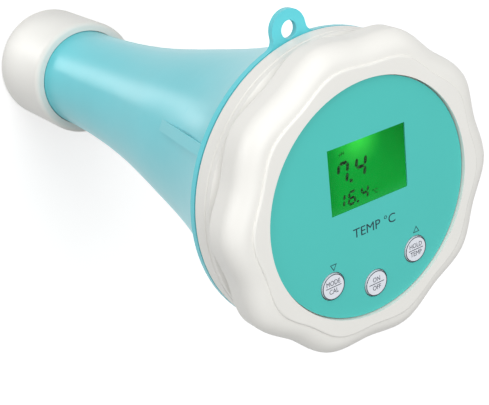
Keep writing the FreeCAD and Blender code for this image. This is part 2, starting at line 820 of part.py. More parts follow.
KEY_X = "key_ring_radius * sin(key_spacing)"
KEY_Y = "-key_ring_radius * cos(key_spacing)"
KEY_PLACES = {
    "left": (f"-{KEY_X}", KEY_Y),
    "centre": ("0", "-key_ring_radius"),
    "right": (KEY_X, KEY_Y),
}
BOARD_SCREWS = [
    ("-upper_boss_x", "upper_boss_y"),
    ("upper_boss_x", "upper_boss_y"),
    ("-lower_boss_x", "-lower_boss_y"),
    ("lower_boss_x", "-lower_boss_y"),
]
COVER_SCREW = "cover_screw_ring * cos(45)"
COVER_SCREWS = [(f"{a}{COVER_SCREW}", f"{b}{COVER_SCREW}") for a in ("-", "") for b in ("-", "")]
CHIPS = [
    ("processor_side", "processor_x", "-processor_y"),
    ("memory_side", "-memory_x", "-memory_y"),
    ("driver_side", "driver_x", "-driver_y"),
]
KEY_TOP = f"{PANEL_TOP} + key_proud"
COLLAR_TOP = f"{FACE_UNDER} - turn_gap"
SWITCH_TOP = f"{BOARD_TOP} + switch_tall"
PLUNGER_TOP = f"{SWITCH_TOP} + plunger_proud"
SOCKET_UNDER = f"{BOARD_UNDER} - socket_tall"
PLUG_TOP = f"{BOARD_UNDER} - socket_wall - socket_gap"
PLUG_UNDER = f"{PLUG_TOP} - plug_tall"


def make_display_housing():
    """The sealed cup behind the panel, with its shoulder, seal groove, bosses and openings."""
    body = make_body("display_housing")
    groove_floor = f"{PLUG_RADIUS} - seal_depth"
    seal_top = "seal_place + seal_width"
    corners = [("0", FACE_TOP), (PLATEAU_RADIUS, FACE_TOP), (PLATEAU_RADIUS, SHOULDER_TOP)]
    corners += [("shoulder_radius", SHOULDER_TOP), ("shoulder_radius", SHOULDER_UNDER)]
    corners += [(PLUG_RADIUS, SHOULDER_UNDER), (PLUG_RADIUS, seal_top), (groove_floor, seal_top)]
    corners += [(groove_floor, "seal_place"), (PLUG_RADIUS, "seal_place"), (PLUG_RADIUS, "housing_end")]
    revolve(body, corners + [(CUP_BORE, "housing_end"), (CUP_BORE, FACE_UNDER), ("0", FACE_UNDER)])
    sketch = make_sketch(body, "XY_Plane", FACE_UNDER)
    for x, y in BOARD_SCREWS:
        draw_circle(sketch, "boss_radius", x, y)
    extrude(body, sketch, "board_drop", down=True)
    sketch = make_sketch(body, "XY_Plane", BOARD_TOP)
    for x, y in BOARD_SCREWS:
        draw_circle(sketch, "screw_radius + seat_gap", x, y)
    extrude(body, sketch, "screw_bite", cut=True)
    sketch = make_sketch(body, "XY_Plane", "housing_end")
    for x, y in COVER_SCREWS:
        draw_circle(sketch, "cover_boss_radius", x, y)
    extrude(body, sketch, "boss_tall")
    sketch = make_sketch(body, "XY_Plane", "housing_end")
    for x, y in COVER_SCREWS:
        draw_circle(sketch, "screw_radius + seat_gap", x, y)
    extrude(body, sketch, "screw_bite", cut=True)
    sketch = make_sketch(body, "XY_Plane", SHOULDER_UNDER)
    bar = "plug_wall / 2 + key_height"
    for side in ("", "-"):
        draw_rectangle(sketch, bar, "key_width", f"{side}({PLUG_RADIUS} + key_height - ({bar}) / 2)")
    extrude(body, sketch, "key_depth", down=True)
    sketch = make_sketch(body, "XY_Plane", FACE_UNDER)
    draw_rectangle(sketch, f"{GLASS_WIDE} + 2 * seat_gap", f"{GLASS_HIGH} + 2 * seat_gap", y="window_centre")
    for x, y in KEY_PLACES.values():
        draw_circle(sketch, "key_radius + key_gap", x, y)
    extrude(body, sketch, "face_thickness", cut=True)
    return body


def make_panel_overlay():
    """The thin printed panel with its display and key openings."""
    body = make_body("panel_overlay")
    sketch = make_sketch(body, "XY_Plane", FACE_TOP)
    draw_circle(sketch, PLATEAU_RADIUS)
    draw_rectangle(sketch, "window_wide", "window_high", y="window_centre")
    for x, y in KEY_PLACES.values():
        draw_circle(sketch, "key_radius + key_gap", x, y)
    extrude(body, sketch, "panel_thickness")
    return body


def make_display_stack():
    """The window, the glass and its frame, the light guide with its lamp, and the contact strips."""
    window = ("window_wide - 2 * seat_gap", "window_high - 2 * seat_gap", "window_thickness")
    add_box("lcd_window", *window, y="window_centre", z=FACE_TOP)
    add_box("lcd_glass", GLASS_WIDE, GLASS_HIGH, "glass_thickness", y="window_centre", z=GLASS_UNDER)
    frame_low = f"{BOARD_TOP} + seat_gap"
    frame_tall = "board_drop - 2 * seat_gap"
    inner_wide, inner_high = f"{GLASS_WIDE} + 2 * seat_gap", f"{GLASS_HIGH} + 2 * seat_gap"
    outer_wide, outer_high = f"{inner_wide} + 2 * frame_wall", f"{inner_high} + 2 * frame_wall"
    outer = add_box("frame_outer", outer_wide, outer_high, frame_tall, y="window_centre", z=frame_low)
    inner = add_box("frame_inner", inner_wide, inner_high, frame_tall, y="window_centre", z=frame_low)
    subtract("lcd_frame", outer, [inner])
    edge = "strip_width + led_wide + 3 * seat_gap"
    guide_low = f"{GLASS_UNDER} - seat_gap - guide_thickness"
    add_box(
        "backlight_guide",
        f"{GLASS_WIDE} - 2 * frame_wall",
        f"{GLASS_HIGH} - 2 * ({edge})",
        "guide_thickness",
        y="window_centre",
        z=guide_low,
    )
    strip_place = f"({GLASS_HIGH}) / 2 - strip_width / 2 - seat_gap"
    strips = []
    for name, side in (("upper_strip", "+"), ("lower_strip", "-")):
        strip = add_box(
            name,
            f"{GLASS_WIDE} - 2 * frame_wall",
            "strip_width",
            f"{GLASS_UNDER} - ({BOARD_TOP}) - 2 * seat_gap",
            y=f"window_centre {side} ({strip_place})",
            z=frame_low,
        )
        strips.append(strip)
    group("contact_strips", strips)
    led_place = f"window_centre + ({GLASS_HIGH}) / 2 - strip_width - led_wide / 2 - 2 * seat_gap"
    lamp = add_box("led_body", "led_long", "led_wide", "guide_thickness", "-led_long", led_place, guide_low)
    pins = []
    for name, side in (("left", "-"), ("right", "+")):
        pin_x = f"-led_long {side} led_pin_spacing / 2"
        pin_tall = f"{guide_low} - ({frame_low})"
        pins.append(add_cylinder(f"led_{name}_pin", "led_pin_radius", pin_tall, pin_x, led_place, frame_low))
    join("backlight_led", [lamp, *pins])


def make_main_board():
    """The round circuit board with its screw holes."""
    body = make_body("main_board")
    sketch = make_sketch(body, "XY_Plane", BOARD_UNDER)
    draw_circle(sketch, "board_radius")
    for x, y in BOARD_SCREWS:
        draw_circle(sketch, "screw_radius + screw_gap", x, y)
    extrude(body, sketch, "board_thickness")
    return body


def make_screws(label, places, head_top, bite):
    """Pan-head screws driven upwards, their heads just under head_top."""
    screws = []
    for number, (x, y) in enumerate(places):
        head = add_cylinder(f"{label}_head_{number}", "screw_head_radius", "screw_head_tall", x, y,
                            f"{head_top} - screw_head_tall")
        shank = add_cylinder(f"{label}_shank_{number}", "screw_radius", bite, x, y, head_top)
        screws.append(join(f"{label}_{number}", [head, shank]))
    return group(label, screws)


def make_board_parts():
    """The parts that sit on the main board, and its screws."""
    make_main_board()
    make_screws("board_screws", BOARD_SCREWS, BOARD_UNDER, "board_thickness + screw_bite - screw_gap")
    switches = []
    for side, (x, y) in KEY_PLACES.items():
        case = add_box(f"{side}_switch_case", "switch_side", "switch_side", "switch_tall", x, y, BOARD_TOP)
        depth = "plunger_depth + key_travel + plunger_gap"
        bore_low = f"{SWITCH_TOP} - ({depth})"
        bore = add_cylinder(f"{side}_switch_bore", "plunger_radius + plunger_gap", depth, x, y, bore_low)
        switches.append(subtract(f"{side}_switch", case, [bore]))
    group("tact_switches", switches)
    carrier_low = f"{BOARD_UNDER} - radio_board"
    shield_low = f"{carrier_low} - chip_tall"
    module = ("radio_wide", "radio_long", "radio_board")
    carrier = add_box("radio_carrier", *module, "-radio_x", "-radio_y", carrier_low)
    shield_long = "radio_long - antenna_long - 2 * radio_margin"
    shield_y = "-radio_y - antenna_long / 2"
    shield_wide = "radio_wide - 2 * radio_margin"
    shield = add_box("radio_shield", shield_wide, shield_long, "chip_tall", "-radio_x", shield_y, shield_low)
    join("radio_module", [carrier, shield])
    chips = []
    for number, (side, x, y) in enumerate(CHIPS):
        chips.append(add_box(f"chip_{number}", side, side, "chip_tall", x, y, f"{BOARD_UNDER} - chip_tall"))
    group("controller_chips", chips)
    long, wide = "plug_long + 2 * socket_gap", "plug_wide + 2 * socket_gap"
    outside = (f"{long} + 2 * socket_wall", f"{wide} + 2 * socket_wall", "socket_tall")
    case = add_box("socket_case", *outside, "0", "cable_shift", SOCKET_UNDER)
    inside = (long, wide, "socket_tall - socket_wall")
    cavity = add_box("socket_cavity", *inside, "0", "cable_shift", SOCKET_UNDER)
    subtract("cable_socket", case, [cavity])
    add_box("cable_plug", "plug_long", "plug_wide", "plug_tall", "0", "cable_shift", PLUG_UNDER)


def make_rear_cover():
    """The cover that closes the housing, with the battery bay moulded on it."""
    body = make_body("rear_cover")
    corners = [("0", COVER_UNDER), (PLUG_RADIUS, COVER_UNDER), (PLUG_RADIUS, "housing_end")]
    revolve(body, corners + [("0", "housing_end")])
    sketch = make_sketch(body, "XY_Plane", "housing_end")
    draw_rectangle(sketch, f"{BAY_LENGTH} + 2 * bay_wall", f"{BAY_WIDE} + 2 * bay_wall")
    extrude(body, sketch, f"{BAY_TOP} - housing_end + bay_wall")
    sketch = make_sketch(body, "XY_Plane", COVER_UNDER)
    draw_rectangle(sketch, BAY_LENGTH, BAY_WIDE)
    extrude(body, sketch, f"{BAY_TOP} - ({COVER_UNDER})", cut=True)
    sketch = make_sketch(body, "XY_Plane", COVER_UNDER)
    draw_circle(sketch, "cover_hole_radius", "0", "cable_shift")
    for x, y in COVER_SCREWS:
        draw_circle(sketch, "screw_radius + screw_gap", x, y)
    extrude(body, sketch, "cover_thickness", cut=True)
    return body


def make_battery_door():
    """The lid of the battery bay, flush in the rear cover."""
    body = make_body("battery_door")
    sketch = make_sketch(body, "XY_Plane", COVER_UNDER)
    draw_rectangle(sketch, f"{BAY_LENGTH} - 2 * turn_gap", f"{BAY_WIDE} - 2 * turn_gap")
    extrude(body, sketch, "cover_thickness - turn_gap")
    return body


def lying(item):
    """Lay an upright round piece along X."""
    item.Placement = FreeCAD.Placement(FreeCAD.Vector(0, 0, 0), FreeCAD.Rotation(FreeCAD.Vector(0, 1, 0), 90))
    return item


def make_cells():
    """Two cells side by side, facing opposite ways, each against a spring at its flat end."""
    reach = f"({BAY_LENGTH}) / 2 - plate_thickness - bay_gap - nub_length"
    for number, side in ((1, 1), (2, -1)):
        can = lying(add_cylinder(f"can_{number}", "cell_radius", "cell_length"))
        nub = lying(add_cylinder(f"nub_{number}", "nub_radius", "nub_length"))
        y = f"{side} * cell_pitch / 2"
        can_x = f"{reach} - cell_length" if side > 0 else f"-({reach})"
        nub_x = reach if side > 0 else f"-({reach}) - nub_length"
        move(can, can_x, y, CELL_HEIGHT)
        move(nub, nub_x, y, CELL_HEIGHT)
        join(f"battery_cell_{number}", [can, nub])


def make_battery_springs():
    """A rolled leaf spring, open on one side, between each cell's flat end and its contact plate."""
    springs = []
    outer = "(spring_room / 2 - seat_gap)"
    low = f"{CELL_HEIGHT} - spring_tall / 2"
    for number, side in enumerate(("-", "")):
        x = f"{side}({BAY_LENGTH} / 2 - plate_thickness - spring_room / 2)"
        y = "cell_pitch / 2" if side else "-cell_pitch / 2"
        roll = add_cylinder(f"roll_{number}", outer, "spring_tall", x, y, low)
        bore = add_cylinder(f"roll_bore_{number}", f"{outer} - spring_leaf", "spring_tall", x, y, low)
        opening = (outer, f"2 * {outer}", "spring_tall")
        mouth = add_box(f"roll_mouth_{number}", *opening, x, f"{y} + {outer}", low)
        springs.append(subtract(f"battery_spring_{number}", roll, [bore, mouth]))
    group("battery_springs", springs)


def make_contact_plates():
    """The four contact plates at the ends of the battery bay."""
    plates = []
    low = f"{CELL_HEIGHT} - plate_tall / 2"
    for x_side in ("-", ""):
        for y_side in ("-", ""):
            x = f"{x_side}({BAY_LENGTH} / 2 - plate_thickness / 2)"
            y = f"{y_side}cell_pitch / 2"
            plate = add_box(f"plate_{len(plates)}", "plate_thickness", "plate_wide", "plate_tall", x, y, low)
            plates.append(plate)
    group("contact_plates", plates)


def make_key(side, x, y):
    """A round key with its collar and stem, and the switch plunger that it rests on."""
    body = make_body(f"{side}_key_cap")
    collar = "key_radius + key_collar"
    collar_low = f"{COLLAR_TOP} - collar_thickness"
    corners = [("0", PLUNGER_TOP), ("stem_radius", PLUNGER_TOP), ("stem_radius", collar_low)]
    corners += [(collar, collar_low), (collar, COLLAR_TOP), ("key_radius", COLLAR_TOP)]
    corners += [("key_radius", KEY_TOP), ("0", KEY_TOP)]
    cap = revolve(body, corners)
    top = value(KEY_TOP)
    round_edges(body, cap, lambda radius, height, point: near(height, top) and radius > 1, "key_proud / 2")
    move(body, x, y)
    add_cylinder(f"{side}_switch_plunger", "plunger_radius", "plunger_proud + plunger_depth", x, y,
                 f"{SWITCH_TOP} - plunger_depth")


def make_tail_cap():
    """The plain closed cap over the probes."""
    body = make_body("tail_cap")
    corners = [("0", "0"), ("cap_radius", "0"), ("cap_radius", "neck_step"), (CAP_BORE, "neck_step")]
    blank = revolve(body, corners + [(CAP_BORE, "cap_floor"), ("0", "cap_floor")])
    rim_z = value("neck_step")
    outer = value("cap_radius")
    blank = round_edges(body, blank, lambda r, z, point: near(z, 0) and near(r, outer), "cap_end_round")
    blank = round_edges(body, blank, lambda r, z, point: near(z, rim_z) and near(r, outer), "cap_rim_round")
    floor_z = value("cap_floor")
    bore = value(CAP_BORE)
    round_edges(body, blank, lambda r, z, point: near(z, floor_z) and near(r, bore), "cap_floor / 2")
    return body


# --- build, check and write -----------------------------------------------------------------------

add_feature("float_shell", float_shell_shape())
make_sensor_parts()
add_feature("sensor_cable", cable_shape())
add_feature("lock_ring", lock_ring_shape())
add_feature("retaining_ring", retaining_ring_shape())
make_display_housing()
make_panel_overlay()
make_display_stack()
make_board_parts()
make_rear_cover()
make_battery_door()
make_cells()
make_battery_springs()
make_contact_plates()
make_screws("cover_screws", COVER_SCREWS, COVER_UNDER, "cover_thickness + screw_bite - screw_gap")
add_seal("head_seal", f"{PLUG_RADIUS} - seal_depth", "mouth_bore", "seal_place + seal_width / 2")
for key_side, (key_x, key_y) in KEY_PLACES.items():
    make_key(key_side, key_x, key_y)
make_tail_cap()
doc.recompute()

NODES = [
    "float_shell", "ballast_ring", "sensor_carrier", "carrier_seal", "probe_seals", "ph_electrode",
    "temperature_probe", "reference_junction", "probe_guard", "preamp_board", "sensor_cable", "cable_plug",
    "cap_seal", "lock_ring", "retaining_ring", "display_housing", "panel_overlay", "lcd_window", "lcd_glass",
    "lcd_frame", "backlight_guide", "backlight_led", "contact_strips", "main_board", "board_screws",
    "tact_switches", "radio_module", "controller_chips", "cable_socket", "rear_cover", "cover_screws",
    "battery_door", "battery_cell_1", "battery_cell_2", "battery_springs", "contact_plates", "head_seal",
    "left_key_cap", "left_switch_plunger", "centre_key_cap", "centre_switch_plunger", "right_key_cap",
    "right_switch_plunger", "tail_cap",
]

failed = [item.Label for item in doc.Objects if {"Invalid", "Error"} & set(item.State)]
if failed:
    raise RuntimeError(f"objects failed to recompute: {failed}")
for node in NODES:
    shape = doc.getObject(node).Shape
    if shape.isNull() or not shape.isValid() or not shape.Solids:
        raise RuntimeError(f"{node} has no valid solid")
os.makedirs("parts", exist_ok=True)
for node in NODES:
    doc.getObject(node).Shape.exportStep(f"parts/{node}.step")
print(f"{len(NODES)} nodes written")
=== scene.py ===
import json
import math
import bmesh
import bpy
from mathutils import Matrix, Vector


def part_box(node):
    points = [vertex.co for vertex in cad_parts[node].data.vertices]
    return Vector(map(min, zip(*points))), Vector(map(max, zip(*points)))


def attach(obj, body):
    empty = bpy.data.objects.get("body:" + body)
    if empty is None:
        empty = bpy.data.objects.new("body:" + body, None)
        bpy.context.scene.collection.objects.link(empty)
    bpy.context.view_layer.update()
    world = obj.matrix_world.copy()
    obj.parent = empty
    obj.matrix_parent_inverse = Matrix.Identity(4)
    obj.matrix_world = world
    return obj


# Looks of the floating pool thermometer: an aqua float with a lobed white lock ring, a teal panel with a lit
# display and three printed keys, and a white tail cap. Lengths are in metres, in the part's own frame.

MM = 0.001

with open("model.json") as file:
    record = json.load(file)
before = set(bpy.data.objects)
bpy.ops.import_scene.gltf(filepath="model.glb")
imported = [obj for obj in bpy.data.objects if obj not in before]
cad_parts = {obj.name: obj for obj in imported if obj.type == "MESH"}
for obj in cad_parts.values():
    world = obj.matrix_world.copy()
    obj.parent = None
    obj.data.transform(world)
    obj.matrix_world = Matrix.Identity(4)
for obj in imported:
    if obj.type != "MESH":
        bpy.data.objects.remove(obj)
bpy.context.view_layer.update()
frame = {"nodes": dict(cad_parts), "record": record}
nodes = frame["nodes"]


def display_colour(red, green, blue):
    """The linear colour that a shader takes, from a display colour of 0 to 255 a channel."""
    channels = (channel / 255 for channel in (red, green, blue))
    return (*(c / 12.92 if c <= 0.04045 else ((c + 0.055) / 1.055) ** 2.4 for c in channels), 1.0)


def scaled(colour, share):
    """A linear colour made lighter or darker."""
    return (*(channel * share for channel in colour[:3]), 1.0)


# --- camera, floor and light ----------------------------------------------------------------------

CAMERA_PLACE = Vector((-0.2228, 0.1628, 0.4964))
CAMERA_RIGHT = Vector((0.80812, -0.10282, 0.57998))
CAMERA_BACK = Vector((-0.49475, 0.41584, 0.76309))
LENS = 88.0
SENSOR_WIDTH = 36.0
SURROUND_STRENGTH = 0.34
LIGHT_TARGET = (0.0, 0.0, 0.13)
# Each square softbox's name, place, side and power.
SOFTBOXES = (
    ("key_softbox", (-0.1, 0.95, 0.65), 0.7, 3.0),
    ("front_softbox", (-0.05, 0.3, 1.3), 0.9, 7.4),
    ("side_softbox", (-0.95, 0.45, 0.35), 0.6, 4.0),
)
STRIP_PLACE = (-0.036, 0.046, 0.002)
STRIP_TARGET = (-0.036, 0.046, 0.2)
STRIP_SIZE = (0.018, 0.05)
STRIP_POWER = 0.009
FLOOR_HALF = 3.0
FLOOR_THICKNESS = 0.02


def make_camera():
    """A long lens that looks down past the display, with the float's axis running up to the left."""
    back = CAMERA_BACK.normalized()
    right = (CAMERA_RIGHT - back * CAMERA_RIGHT.dot(back)).normalized()
    data = bpy.data.cameras.new("camera")
    data.lens = LENS
    data.sensor_width = SENSOR_WIDTH
    data.clip_start = 0.01
    data.clip_end = 20.0
    camera = bpy.data.objects.new("camera", data)
    camera.matrix_world = Matrix((right, back.cross(right), back)).transposed().to_4x4()
    camera.location = CAMERA_PLACE
    bpy.context.scene.collection.objects.link(camera)
    bpy.context.scene.camera = camera


def area_light(name, place, size, power, target=LIGHT_TARGET):
    """A light of a width and height that faces its target and is not seen itself."""
    data = bpy.data.lights.new(name, "AREA")
    data.shape = "RECTANGLE"
    data.size, data.size_y = size
    data.energy = power
    light = bpy.data.objects.new(name, data)
    light.location = place
    light.rotation_euler = (Vector(target) - Vector(place)).to_track_quat("-Z", "Y").to_euler()
    light.visible_camera = False
    bpy.context.scene.collection.objects.link(light)


def make_studio():
    """Dim even surroundings, three softboxes, and a strip beside the tail cap that lights the horn."""
    world = bpy.data.worlds.new("studio")
    world.use_nodes = True
    surround = world.node_tree.nodes["Background"]
    surround.inputs["Color"].default_value = (1.0, 1.0, 1.0, 1.0)
    surround.inputs["Strength"].default_value = SURROUND_STRENGTH
    bpy.context.scene.world = world
    for name, place, side, power in SOFTBOXES:
        area_light(name, place, (side, side), power)
    area_light("strip_light", STRIP_PLACE, STRIP_SIZE, STRIP_POWER, STRIP_TARGET)
    bpy.context.scene.view_settings.view_transform = "Standard"


# --- materials ------------------------------------------------------------------------------------


class Finish:
    """A procedural material: a Principled shader with the texture nodes that vary it."""

    def __init__(self, name, colour, roughness, **settings):
        self.material = bpy.data.materials.new(name)
        self.material.use_nodes = True
        self.tree = self.material.node_tree
        self.shader = self.tree.nodes["Principled BSDF"]
        self.place = self.node("ShaderNodeTexCoord").outputs["Object"]
        self.shader.inputs["Base Color"].default_value = colour
        self.shader.inputs["Roughness"].default_value = roughness
        for socket, number in settings.items():
            self.shader.inputs[socket.replace("_", " ")].default_value = number
        self.colour = colour

    def node(self, kind, **settings):
        """A new node with its properties set."""
        made = self.tree.nodes.new(kind)
        for name, setting in settings.items():
            setattr(made, name, setting)
        return made

    def feed(self, socket, source):
        """Link a source to an input, or set the input where the source is plain."""
        if isinstance(source, bpy.types.NodeSocket):
            self.tree.links.new(source, socket)
        else:
            socket.default_value = source

    def maths(self, operation, *sources):
        """The output of a maths node."""
        made = self.node("ShaderNodeMath", operation=operation)
        for socket, source in zip(made.inputs, sources):
            self.feed(socket, source)
        return made.outputs[0]

    def noise(self, scale, detail=3.0, stretch=(1.0, 1.0, 1.0)):
        """Soft noise, from 0 to 1, with scale cells a metre."""
        mapping = self.node("ShaderNodeMapping")
        self.feed(mapping.inputs["Vector"], self.place)
        mapping.inputs["Scale"].default_value = stretch
        made = self.node("ShaderNodeTexNoise")
        self.feed(made.inputs["Vector"], mapping.outputs[0])
        made.inputs["Scale"].default_value = scale
        made.inputs["Detail"].default_value = detail
        return made.outputs[0]

    def spread(self, source, low, high, start=0.3, end=0.7):
        """The source's start to end stretched to run from low to high."""
        made = self.node("ShaderNodeMapRange")
        for socket, number in zip(made.inputs, (source, start, end, low, high)):
            self.feed(socket, number)
        return made.outputs[0]

    def blend(self, share, first, second):
        """A colour between two colours."""
        made = self.node("ShaderNodeMix", data_type="RGBA")
        for name, source in (("Factor", share), ("A", first), ("B", second)):
            sockets = [socket for socket in made.inputs if socket.name == name and socket.enabled]
            self.feed(sockets[0], source)
        return next(socket for socket in made.outputs if socket.enabled)

    def mottle(self, scale, share):
        """Vary the colour a little, as pigment does in a moulding."""
        flow = self.spread(self.noise(scale), 0.0, 1.0)
        self.colour = self.blend(flow, self.colour, scaled(self.colour, share))
        self.feed(self.shader.inputs["Base Color"], self.colour)
        return self

    def polish(self, scale, low, high, stretch=(1.0, 1.0, 1.0)):
        """Vary the gloss from place to place."""
        gloss = self.spread(self.noise(scale, stretch=stretch), low, high)
        self.feed(self.shader.inputs["Roughness"], gloss)
        return self

    def grain(self, scale, height, stretch=(1.0, 1.0, 1.0), detail=2.0):
        """A fine uneven surface whose bumps are height metres deep."""
        bump = self.node("ShaderNodeBump")
        bump.inputs["Distance"].default_value = height
        self.feed(bump.inputs["Height"], self.noise(scale, detail, stretch))
        if self.shader.inputs["Normal"].links:
            self.feed(bump.inputs["Normal"], self.shader.inputs["Normal"].links[0].from_socket)
        self.feed(self.shader.inputs["Normal"], bump.outputs[0])
        return self


def moulded(name, colour, roughness):
    """A moulded plastic with a slight pigment flow and an even gloss."""
    return Finish(name, colour, roughness, IOR=1.42).mottle(28.0, 0.96)


AQUA = display_colour(100, 211, 222)
RING_WHITE = display_colour(238, 237, 232)
TEAL = display_colour(80, 199, 191)
KEY_WHITE = display_colour(228, 232, 240)


def film_finish(name, colour, pattern):
    """Printed polyester film with a fine satin texture."""
    finish = Finish(name, colour, 0.42, IOR=1.5).mottle(pattern, 0.985).polish(200.0, 0.38, 0.46)
    return finish.grain(1800.0, 0.00001)


def window_finish():
    """The clear cover over the display, with a low reflection."""
    finish = Finish("clear_film", (1.0, 1.0, 1.0, 1.0), 0.04, IOR=1.12, Transmission_Weight=1.0)
    return finish.grain(500.0, 0.000002)


# The lamp behind the display: its x, how far it is above the window, and the reach of its glow each way.
LAMP_X = -3.0 * MM
LAMP_ABOVE = 0.5 * MM
LAMP_REACH_X = 5.5 * MM
LAMP_REACH_Y = 6.0 * MM


def lcd_finish():
    """The lit display: green, brightest by the lamp at its top edge and darker towards the right, with a
    painted shadow of the window's rim along its left edge.
    """
    finish = Finish("lcd_glow", (0.0, 0.02, 0.004, 1.0), 0.3, IOR=1.1)
    low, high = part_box("lcd_window")
    across, up, _ = finish_axes(finish)
    lamp_y = high.y + LAMP_ABOVE
    dx = finish.maths("DIVIDE", finish.maths("SUBTRACT", across, LAMP_X), LAMP_REACH_X)
    dy = finish.maths("DIVIDE", finish.maths("SUBTRACT", up, lamp_y), LAMP_REACH_Y)
    squares = finish.maths("ADD", finish.maths("POWER", dx, 2.0), finish.maths("POWER", dy, 2.0))
    distance = finish.maths("SQRT", squares)
    glow = finish.spread(distance, 1.0, 0.0, 0.0, 1.9)
    shade = finish.spread(across, 0.0, 1.0, 0.0, high.x)
    rise = finish.spread(up, 0.0, 1.0, low.y, high.y)
    dark = finish.maths("MULTIPLY", shade, rise)
    body = finish.blend(dark, display_colour(14, 158, 52), display_colour(6, 118, 30))
    # Painted shadow: the glow is darkened along the window's left edge, as if the window's rim shaded it.
    left = finish.spread(across, 0.55, 0.0, low.x, low.x + 4.0 * MM)
    body = finish.blend(left, body, display_colour(7, 118, 40))
    foot = finish.spread(up, 0.4, 0.0, low.y, low.y + 3.0 * MM)
    body = finish.blend(foot, body, display_colour(46, 168, 84))
    body = finish.blend(finish.maths("POWER", glow, 1.4), body, display_colour(66, 236, 78))
    body = finish.blend(finish.spread(finish.noise(400.0), 0.0, 0.12), body, display_colour(4, 104, 30))
    finish.feed(finish.shader.inputs["Emission Color"], body)
    finish.shader.inputs["Emission Strength"].default_value = 1.0
    return finish


def finish_axes(finish):
    """The object's own x, y and z as three sources."""
    split = finish.node("ShaderNodeSeparateXYZ")
    finish.feed(split.inputs[0], finish.place)
    return split.outputs[0], split.outputs[1], split.outputs[2]


def ink_finish(name, colour):
    """Screen-printed ink, a little uneven."""
    return Finish(name, colour, 0.5, IOR=1.45).mottle(900.0, 0.8).grain(4000.0, 0.000004).material


def floor_finish():
    """A white studio floor that is lit from within."""
    finish = Finish("floor_white", (0.93, 0.93, 0.93, 1.0), 0.9).mottle(3.0, 0.995)
    finish.shader.inputs["Emission Color"].default_value = (1.0, 1.0, 1.0, 1.0)
    finish.shader.inputs["Emission Strength"].default_value = 0.4
    return finish.material


def textured(name, colour, roughness):
    """An engineering plastic with a fine spark-eroded skin."""
    finish = Finish(name, colour, roughness, IOR=1.5).mottle(45.0, 0.88)
    return finish.polish(300.0, roughness * 0.85, roughness * 1.2).grain(1500.0, 0.00002, detail=4.0)


def rubber(name, colour):
    """Matte rubber with a dusty bloom."""
    finish = Finish(name, colour, 0.65, IOR=1.5, Sheen_Weight=0.15).mottle(150.0, 1.5)
    return finish.polish(120.0, 0.55, 0.75).grain(900.0, 0.00002)


def metal(name, colour, roughness, stretch=(1.0, 1.0, 1.0)):
    """A plated or drawn metal, brushed where its grain is stretched."""
    finish = Finish(name, colour, roughness, Metallic=1.0).mottle(80.0, 0.9)
    finish.polish(400.0, roughness * 0.7, roughness * 1.4, stretch)
    return finish.grain(2500.0, 0.000004, stretch)


def cells_between(finish, scale, feature):
    """The distance output of a cell pattern."""
    made = finish.node("ShaderNodeTexVoronoi", feature=feature)
    finish.feed(made.inputs["Vector"], finish.place)
    made.inputs["Scale"].default_value = scale
    return made.outputs["Distance"]


def board_finish():
    """Green solder mask over paler copper tracks, with small tinned pads."""
    mask, track, pad = (display_colour(*c) for c in ((18, 84, 48), (44, 122, 72), (196, 190, 160)))
    finish = Finish("board_green", mask, 0.3, IOR=1.5)
    ways = finish.node("ShaderNodeTexBrick", offset=0.35, squash=0.6, squash_frequency=3)
    finish.feed(ways.inputs["Vector"], finish.place)
    ways.inputs["Scale"].default_value = 260.0
    ways.inputs["Mortar Size"].default_value = 0.07
    finish.feed(ways.inputs["Color1"], mask)
    finish.feed(ways.inputs["Color2"], scaled(mask, 0.85))
    finish.feed(ways.inputs["Mortar"], track)
    pads = finish.spread(cells_between(finish, 420.0, "F1"), 1.0, 0.0, 0.14, 0.2)
    colour = finish.blend(pads, ways.outputs["Color"], pad)
    finish.feed(finish.shader.inputs["Base Color"], colour)
    return finish.polish(200.0, 0.24, 0.38).grain(1400.0, 0.00001)


def glass_finish():
    """The electrode's thin clear glass."""
    finish = Finish("electrode_glass", (0.92, 0.98, 1.0, 1.0), 0.05, IOR=1.47, Transmission_Weight=0.9)
    return finish.polish(60.0, 0.03, 0.08).grain(120.0, 0.00001)


def guide_finish():
    """Frosted acrylic that the lamp fills with green light."""
    finish = Finish("frosted_guide", display_colour(214, 245, 218), 0.5, IOR=1.49, Transmission_Weight=0.4)
    finish.shader.inputs["Emission Color"].default_value = display_colour(60, 220, 90)
    finish.shader.inputs["Emission Strength"].default_value = 0.15
    return finish.mottle(300.0, 0.95).polish(500.0, 0.4, 0.6).grain(2200.0, 0.00002)


def ceramic_finish():
    """A porous ceramic plug."""
    finish = Finish("porous_ceramic", display_colour(232, 228, 216), 0.75, IOR=1.5).mottle(900.0, 0.85)
    return finish.polish(700.0, 0.65, 0.85).grain(3000.0, 0.00004, detail=5.0)


BAND_START = 0.7
BAND_EDGE = 0.3 * MM


def sleeve_finish():
    """A cell's shrink sleeve: dark, with a coppery band at the end by its positive cap."""
    dark = display_colour(44, 50, 58)
    finish = Finish("cell_sleeve", dark, 0.3, IOR=1.5, Coat_Weight=0.4, Coat_Roughness=0.1)
    low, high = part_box("battery_cell_1")
    along = max((high[n] - low[n], n) for n in range(3))[1]
    edge = low[along] + BAND_START * (high[along] - low[along])
    band = finish.spread(finish_axes(finish)[along], 0.0, 1.0, edge, edge + BAND_EDGE)
    finish.colour = finish.blend(band, finish.colour, display_colour(184, 120, 72))
    finish.feed(finish.shader.inputs["Base Color"], finish.colour)
    return finish.polish(90.0, 0.24, 0.38).grain(700.0, 0.00001)


